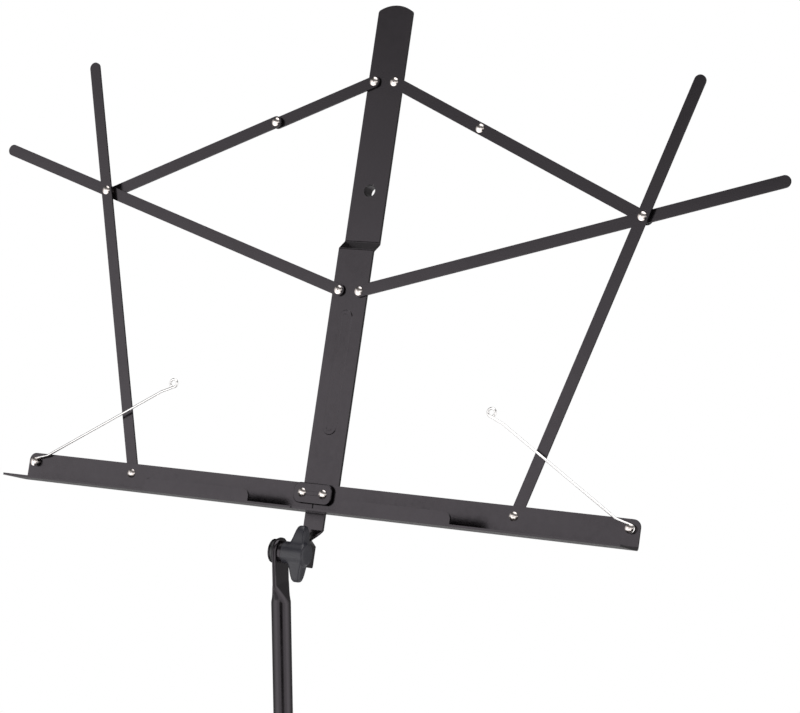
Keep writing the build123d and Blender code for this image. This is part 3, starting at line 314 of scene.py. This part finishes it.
def dress_cad_nodes():
    """Give every CAD node its finish."""
    for name, obj in frame["nodes"].items():
        obj.data.materials.clear()
        obj.data.materials.append(FINISHES[NODE_SLOTS[name]])


def soften_cad_nodes():
    """Round the edges of the sheet and moulded pieces, but not of the links, which shade badly."""
    for name, obj in frame["nodes"].items():
        if NODE_SLOTS[name] == "black_steel" and "link" not in name:
            soften(obj, SHEET_EDGE)
        elif NODE_SLOTS[name] in ("clamp_plastic", "foot_rubber"):
            soften(obj, MOULDED_EDGE)


# ---------------------------------------------------------------- detailed pieces


def rings_object(name, rings, slot, body, edge_angle):
    """Closed mesh through rings of points, all with the same number of points."""
    mesh = bpy.data.meshes.new(name)
    shape = bmesh.new()
    loops = [[shape.verts.new(point) for point in ring] for ring in rings]
    count = len(loops[0])
    for lower, upper in zip(loops, loops[1:]):
        for i in range(count):
            j = (i + 1) % count
            shape.faces.new((lower[i], lower[j], upper[j], upper[i]))
    shape.faces.new(loops[0])
    shape.faces.new(loops[-1])
    bmesh.ops.recalc_face_normals(shape, faces=shape.faces)
    shape.to_mesh(mesh)
    shape.free()
    for polygon in mesh.polygons:
        polygon.use_smooth = True
    mesh.set_sharp_from_angle(angle=edge_angle)
    obj = bpy.data.objects.new(name, mesh)
    bpy.context.scene.collection.objects.link(obj)
    mesh.materials.append(FINISHES[slot])
    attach(obj, body)
    return obj


def round_section(radius):
    """(along, across) points of a circle."""
    turns = [2 * math.pi * i / SECTION_POINTS for i in range(SECTION_POINTS)]
    return [(radius * math.cos(turn), radius * math.sin(turn)) for turn in turns]


def wing_section(hub, reach):
    """(along, across) points of a round hub blended into a blade that reaches out to both sides."""
    points = []
    for i in range(SECTION_POINTS):
        turn = 2 * math.pi * i / SECTION_POINTS
        along = abs(math.cos(turn) / reach) ** BLADE_SQUARENESS
        across = abs(math.sin(turn) / BLADE_HALF) ** BLADE_SQUARENESS
        blade = (along + across) ** (-1 / BLADE_SQUARENESS)
        radius = (hub ** UNION_SHARPNESS + blade ** UNION_SHARPNESS) ** (1 / UNION_SHARPNESS)
        points.append((radius * math.cos(turn), radius * math.sin(turn)))
    return points


def build_wing_knob(name, node, body, axis, wing, length, span, shank):
    """Moulded wing knob whose hub runs along an axis, on a metal shank or over an insert."""
    low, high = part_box(node)
    middle = (low + high) / 2
    end = middle + axis * abs((high - low).dot(axis)) / 2
    base = end - axis * length
    side = axis.cross(wing)
    start = base - axis * (abs((high - low).dot(axis)) - length)

    def ring(centre, section):
        return [centre + wing * along + side * across for along, across in section]

    if shank:
        rings = [ring(start, round_section(SHANK_RADIUS - SHANK_CHAMFER)),
                 ring(start + axis * SHANK_CHAMFER, round_section(SHANK_RADIUS)),
                 ring(base, round_section(SHANK_RADIUS))]
    else:
        floor = base + axis * length * BORE_SHARE
        rings = [ring(floor, round_section(INSERT_RADIUS)),
                 ring(base, round_section(INSERT_RADIUS))]
    rings.append(ring(base, round_section(HUB_RADIUS - HUB_CHAMFER)))
    for share, spread in WING_PROFILE:
        inset = max(0.0, share - HUB_ROUND_FROM) / (1 - HUB_ROUND_FROM)
        hub = HUB_RADIUS - HUB_ROUNDING * (1 - math.sqrt(max(0.0, 1 - inset ** 2)))
        reach = BLADE_HALF + (span / 2 - BLADE_HALF) * spread
        rings.append(ring(base + axis * length * share, wing_section(hub, reach)))
    rings.append(ring(end, round_section(HUB_RADIUS * KNOB_FACE_SHARE)))
    obj = rings_object(name, rings, "knob_plastic", body, KNOB_SHARP_FROM)
    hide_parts(node)


def build_wing_knobs():
    """Tilt knob and the three clamp screws."""
    lean = Vector((0, math.sin(KNOB_LEAN), math.cos(KNOB_LEAN)))
    right = Vector((1, 0, 0))
    front = Vector((0, -1, 0))
    up = Vector((0, 0, 1))
    build_wing_knob("tilt_wing_knob", "tilt_knob", "tilt_knob", right, lean,
                    KNOB_LENGTH, KNOB_SPAN, False)
    for node, axis in (("upper_clamp_screw", right), ("lower_clamp_screw", right),
                       ("leg_collar_screw", front)):
        build_wing_knob(f"{node}_wing", node, node, axis, up,
                        SCREW_KNOB_LENGTH, SCREW_KNOB_SPAN, True)


def build_crimped_tube():
    """Upper tube whose mouth two sloping dies have pressed into a flat tongue."""
    low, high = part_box("upper_tube")
    centre = (low + high) / 2
    bolt = high.z - TONGUE_WIDTH / 2
    flat_from = bolt - TONGUE_BELOW_BOLT
    round_to = flat_from - CRIMP_LENGTH
    open_die = TUBE_RADIUS * DIE_CLEARANCE
    heights = [low.z, (low.z + round_to) / 2, round_to]
    steps = int((high.z - round_to) / RING_STEP)
    heights += [round_to + (high.z - round_to) * (i + 1) / (steps + 1) for i in range(steps)]
    rings = []
    for z in heights:
        share = min(max((z - round_to) / CRIMP_LENGTH, 0.0), 1.0)
        ease = share * share * (3 - 2 * share)
        width = TUBE_RADIUS + (TONGUE_WIDTH / 2 - TUBE_RADIUS) * ease
        depth = TUBE_RADIUS + (CRIMP_ROUND - TUBE_RADIUS) * share
        die = open_die + (TONGUE_HALF - open_die) * share
        if z > bolt:
            width = math.sqrt(max((TONGUE_WIDTH / 2) ** 2 - (z - bolt) ** 2, TIP_HALF_WIDTH ** 2))
        ring = []
        for i in range(SECTION_POINTS):
            turn = 2 * math.pi * i / SECTION_POINTS
            x = depth * math.cos(turn)
            x = max(-die, min(die, x))
            ring.append(Vector((centre.x + x, centre.y + width * math.sin(turn), z)))
        rings.append(ring)
    name = "crimped_upper_tube"
    tube = rings_object(name, rings, "black_steel", "upper_pole", CRIMP_SHARP_FROM)
    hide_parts("upper_tube")


# ---------------------------------------------------------------- stage, lights and camera


def on_compass(azimuth, elevation, distance):
    """Offset at an azimuth and elevation in degrees: 0 in front of the stand, 90 to its right."""
    a = math.radians(azimuth)
    e = math.radians(elevation)
    return Vector((math.sin(a) * math.cos(e), -math.cos(a) * math.cos(e), math.sin(e))) * distance


def add_panel(name, azimuth, elevation, distance, width, height, radiance):
    """Soft light panel that faces the desk, unseen by the camera."""
    light = bpy.data.lights.new(name, "AREA")
    light.shape = "RECTANGLE"
    light.size = width
    light.size_y = height
    light.energy = radiance * math.pi * width * height
    panel = bpy.data.objects.new(name, light)
    offset = on_compass(azimuth, elevation, distance)
    panel.location = AIM + offset
    panel.rotation_euler = offset.to_track_quat("Z", "Y").to_euler()
    panel.visible_camera = False
    bpy.context.scene.collection.objects.link(panel)


def build_world():
    """White to the camera; to all else soft walls, dark behind the camera, and a bright top."""
    world = bpy.data.worlds.new("studio")
    bpy.context.scene.world = world
    world.use_nodes = True
    tree = world.node_tree
    tree.nodes.clear()

    def node(kind, inputs, **settings):
        return add_node(tree, kind, inputs, **settings)

    def span(value, low, high, out_low, out_high):
        inputs = range_inputs(value, low, high, out_low, out_high)
        made = node("ShaderNodeMapRange", inputs, interpolation_type="SMOOTHSTEP")
        return made.outputs["Result"]

    def times(first, second):
        return node("ShaderNodeMath", {0: first, 1: second}, operation="MULTIPLY").outputs[0]

    direction = tree.nodes.new("ShaderNodeTexCoord").outputs["Generated"]
    toward = tuple(on_compass(VIEW_AZIMUTH, 0, 1.0))
    across = node("ShaderNodeVectorMath", {0: direction, 1: toward}, operation="DOT_PRODUCT")
    facing = across.outputs["Value"]
    rise = node("ShaderNodeSeparateXYZ", {"Vector": direction}).outputs["Z"]
    sides = times(span(facing, *STUDIO_BACK), span(facing, *STUDIO_FALL))
    walls = times(times(sides, span(facing, *STUDIO_GAP)), span(rise, *STUDIO_TOP))
    overhead = span(rise, *STUDIO_OVERHEAD)
    level = node("ShaderNodeMath", {0: walls, 1: overhead}, operation="ADD").outputs[0]
    seen = node("ShaderNodeBackground", {"Color": (1.0, 1.0, 1.0, 1.0)})
    lit = node("ShaderNodeBackground", {"Color": (1.0, 0.985, 0.99, 1.0), "Strength": level})
    path = tree.nodes.new("ShaderNodeLightPath")
    shaders = {0: path.outputs["Is Camera Ray"], 1: lit.outputs[0], 2: seen.outputs[0]}
    mix = node("ShaderNodeMixShader", shaders)
    node("ShaderNodeOutputWorld", {"Surface": mix.outputs[0]})


def build_floor():
    """Round pale floor."""
    mesh = bpy.data.meshes.new("floor")
    shape = bmesh.new()
    bmesh.ops.create_circle(shape, cap_ends=True, segments=FLOOR_SIDES, radius=FLOOR_RADIUS)
    shape.to_mesh(mesh)
    shape.free()
    floor = bpy.data.objects.new("floor", mesh)
    bpy.context.scene.collection.objects.link(floor)
    look = Finish("pale_floor", Roughness=0.9)
    shade = look.noise(0.4, detail=3.0)
    colour = look.mix(shade, (0.86, 0.86, 0.86), (0.90, 0.90, 0.90))
    look.bump((look.noise(2 * MM), 0.02 * MM))
    mesh.materials.append(look.finish(colour, look.span(shade, 0.0, 1.0, 0.8, 0.9)))


def build_camera():
    """Camera at the viewing angle, with its small roll."""
    back = on_compass(VIEW_AZIMUTH, VIEW_ELEVATION, 1.0)
    level_right = Vector((0, 0, 1)).cross(back).normalized()
    right = Matrix.Rotation(math.radians(VIEW_ROLL), 3, back) @ level_right
    up = back.cross(right)
    data = bpy.data.cameras.new("camera")
    data.sensor_width = SENSOR
    data.lens = LENS
    data.clip_end = CLIP_END
    camera = bpy.data.objects.new("camera", data)
    axes = Matrix((right, up, back)).transposed()
    camera.matrix_world = Matrix.Translation(AIM + back * VIEW_DISTANCE) @ axes.to_4x4()
    bpy.context.scene.collection.objects.link(camera)
    bpy.context.scene.camera = camera


# ---------------------------------------------------------------- put it together

NODE_SLOTS = node_slots()
dress_cad_nodes()
build_wing_knobs()
build_crimped_tube()
soften_cad_nodes()
build_world()
build_floor()
add_panel("top_panel", *TOP_PANEL)
build_camera()
bpy.context.scene.view_settings.view_transform = "Standard"
